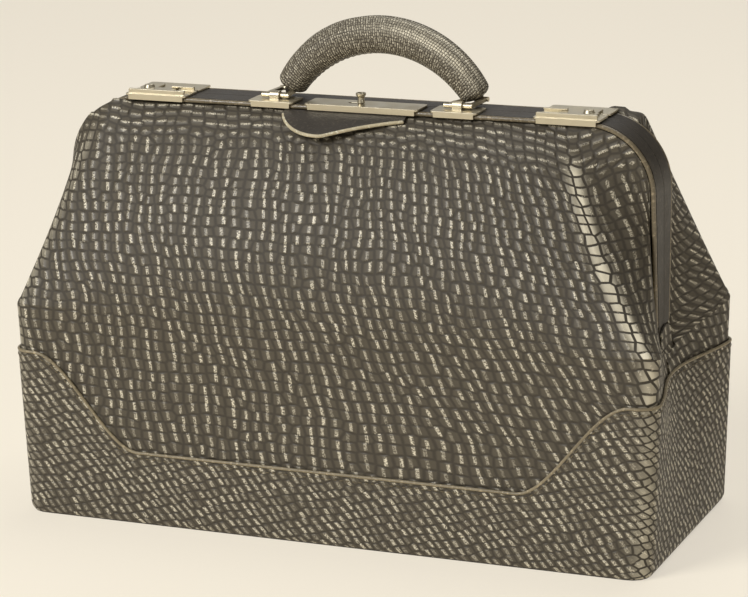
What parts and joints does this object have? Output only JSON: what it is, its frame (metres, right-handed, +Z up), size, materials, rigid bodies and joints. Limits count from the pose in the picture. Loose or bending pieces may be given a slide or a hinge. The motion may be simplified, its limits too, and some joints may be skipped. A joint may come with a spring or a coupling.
{
  "type": "frame-mouthed travelling bag",
  "caption": "Leather travelling bag with a hinged steel mouth frame, sliding lock and catches, a rolled carrying handle and a raised base panel",
  "frame": {"origin": "middle of the resting face, on the ground", "axes": "+X along the bag, +Y toward its back, +Z up; the lock faces -Y"},
  "size_m": [0.4736, 0.192, 0.35],
  "materials": {
    "body_leather": "embossed reptile grain, polished high points",
    "edge_leather": "worn, lighter rolled edge",
    "trim_leather": "smooth, dark, slightly polished",
    "lining_cloth": "plain woven twill",
    "board": "pressed fibre board",
    "frame_steel": "plain rolled steel",
    "plated_metal": "pale plated brass, soft polish"
  },
  "bodies": {
    "bag_body": {"bottom_panel": "body_leather", "bottom_board": "board", "floor_lining": "lining_cloth", "lower_body": "body_leather", "lower_lining": "lining_cloth", "base_band": "body_leather", "base_welt": "edge_leather", "front_body_panel": "body_leather", "rear_body_panel": "body_leather", "front_lining": "lining_cloth", "rear_lining": "lining_cloth", "left_hinge_pin": "frame_steel", "right_hinge_pin": "frame_steel"},
    "front_jaw": {"front_frame": "frame_steel", "front_frame_cover": "trim_leather", "front_frame_welt": "edge_leather", "lock_plate": "plated_metal", "lock_case": "frame_steel", "left_catch_plate": "plated_metal", "right_catch_plate": "plated_metal", "left_handle_plate": "plated_metal", "right_handle_plate": "plated_metal", "pull_tab": "trim_leather"},
    "rear_jaw": {"rear_frame": "frame_steel", "rear_frame_cover": "trim_leather", "rear_frame_welt": "edge_leather", "lock_strike": "frame_steel", "left_catch_keeper": "plated_metal", "right_catch_keeper": "plated_metal"},
    "left_catch": {"left_catch_slide": "plated_metal"},
    "right_catch": {"right_catch_slide": "plated_metal"},
    "lock_slider": {"lock_knob": "plated_metal"},
    "handle": {"handle_grip": "trim_leather", "left_handle_loop": "trim_leather", "right_handle_loop": "trim_leather", "left_handle_ring": "plated_metal", "right_handle_ring": "plated_metal"}
  },
  "joints": [
    {"name": "front_jaw_hinge", "type": "hinge", "parent": "bag_body", "child": "front_jaw", "pos_m": [0, 0, 0.14], "axis": [1, 0, 0], "range_deg": [0, 55], "deforming": ["front_body_panel", "front_lining"]},
    {"name": "rear_jaw_hinge", "type": "hinge", "parent": "bag_body", "child": "rear_jaw", "pos_m": [0, 0, 0.14], "axis": [-1, 0, 0], "range_deg": [0, 55], "deforming": ["rear_body_panel", "rear_lining"]},
    {"name": "handle_swing", "type": "hinge", "parent": "front_jaw", "child": "handle", "pos_m": [0, -0.011, 0.294], "axis": [1, 0, 0], "range_deg": [0, 110]},
    {"name": "left_catch_slide_way", "type": "slide", "parent": "front_jaw", "child": "left_catch", "axis": [1, 0, 0], "range_m": [0, 0.01]},
    {"name": "right_catch_slide_way", "type": "slide", "parent": "front_jaw", "child": "right_catch", "axis": [-1, 0, 0], "range_m": [0, 0.01]},
    {"name": "lock_knob_slide_way", "type": "slide", "parent": "front_jaw", "child": "lock_slider", "axis": [-1, 0, 0], "range_m": [0, 0.0075]}
  ]
}
